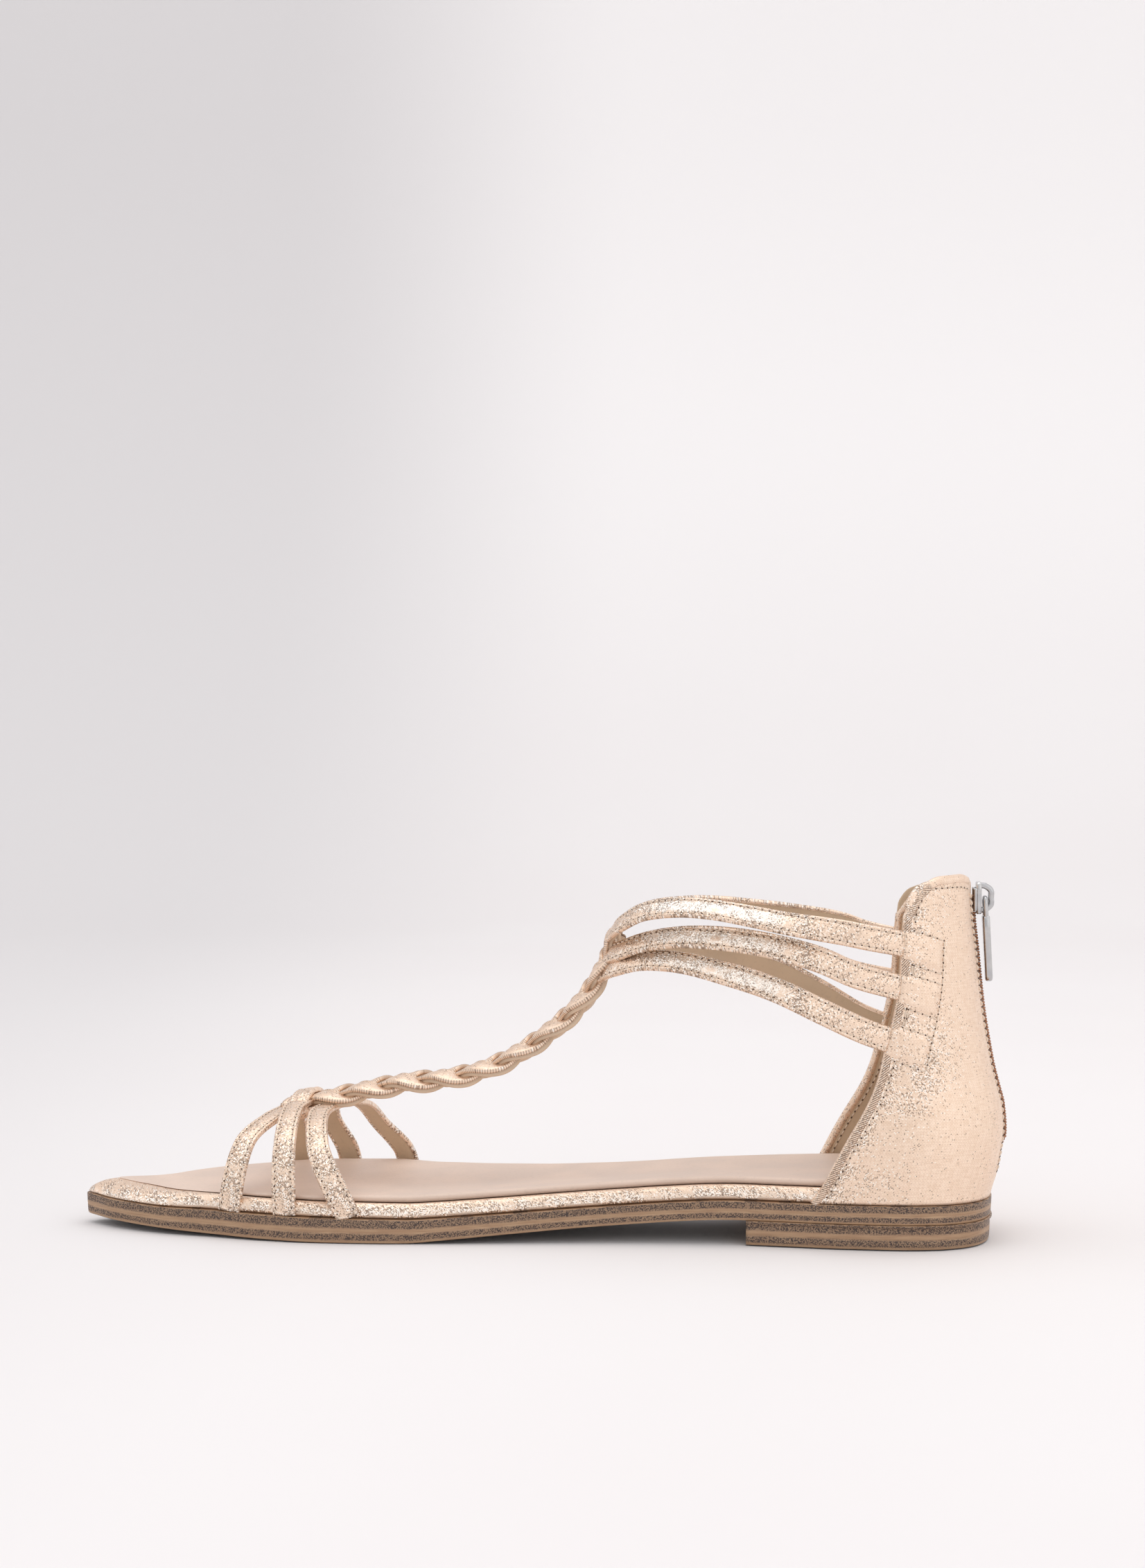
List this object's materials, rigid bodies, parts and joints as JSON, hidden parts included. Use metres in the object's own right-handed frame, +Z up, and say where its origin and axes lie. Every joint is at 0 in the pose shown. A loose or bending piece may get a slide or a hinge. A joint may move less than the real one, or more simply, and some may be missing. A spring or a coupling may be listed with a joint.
{
  "type": "gladiator sandal",
  "caption": "Women's flat gladiator sandal for the left foot, with toe straps, a braided bar up the foot, ankle straps and a closed heel counter with a back zip.",
  "frame": {"origin": "on the floor under the middle of the heel, on the heel's flat tread", "axes": "+X toward the back of the heel with the toe toward -X, +Y toward the inner side of the foot, +Z up"},
  "size_m": [0.2602, 0.0786, 0.101],
  "materials": {
    "sole_edge": "satin bronze edge",
    "metallic_cloth": "rose gold metallic weave",
    "footbed_leather": "smooth matte beige",
    "zip_fabric": "copper brown coil and tape",
    "nickel": "polished nickel"
  },
  "bodies": {
    "shoe": {"outsole": "sole_edge", "heel_block": "sole_edge", "insole_board": "metallic_cloth", "footbed_sock": "footbed_leather", "strap_upper": "metallic_cloth", "heel_counter": "metallic_cloth", "zip_tape": "zip_fabric", "zip_slider": "nickel"},
    "pull": {"zip_pull": "nickel"}
  },
  "joints": [
    {"name": "pull_hinge", "type": "hinge", "parent": "shoe", "child": "pull", "pos_m": [0.02719, 0, 0.09407], "axis": [0, -1, 0], "range_deg": [0, 165]}
  ]
}
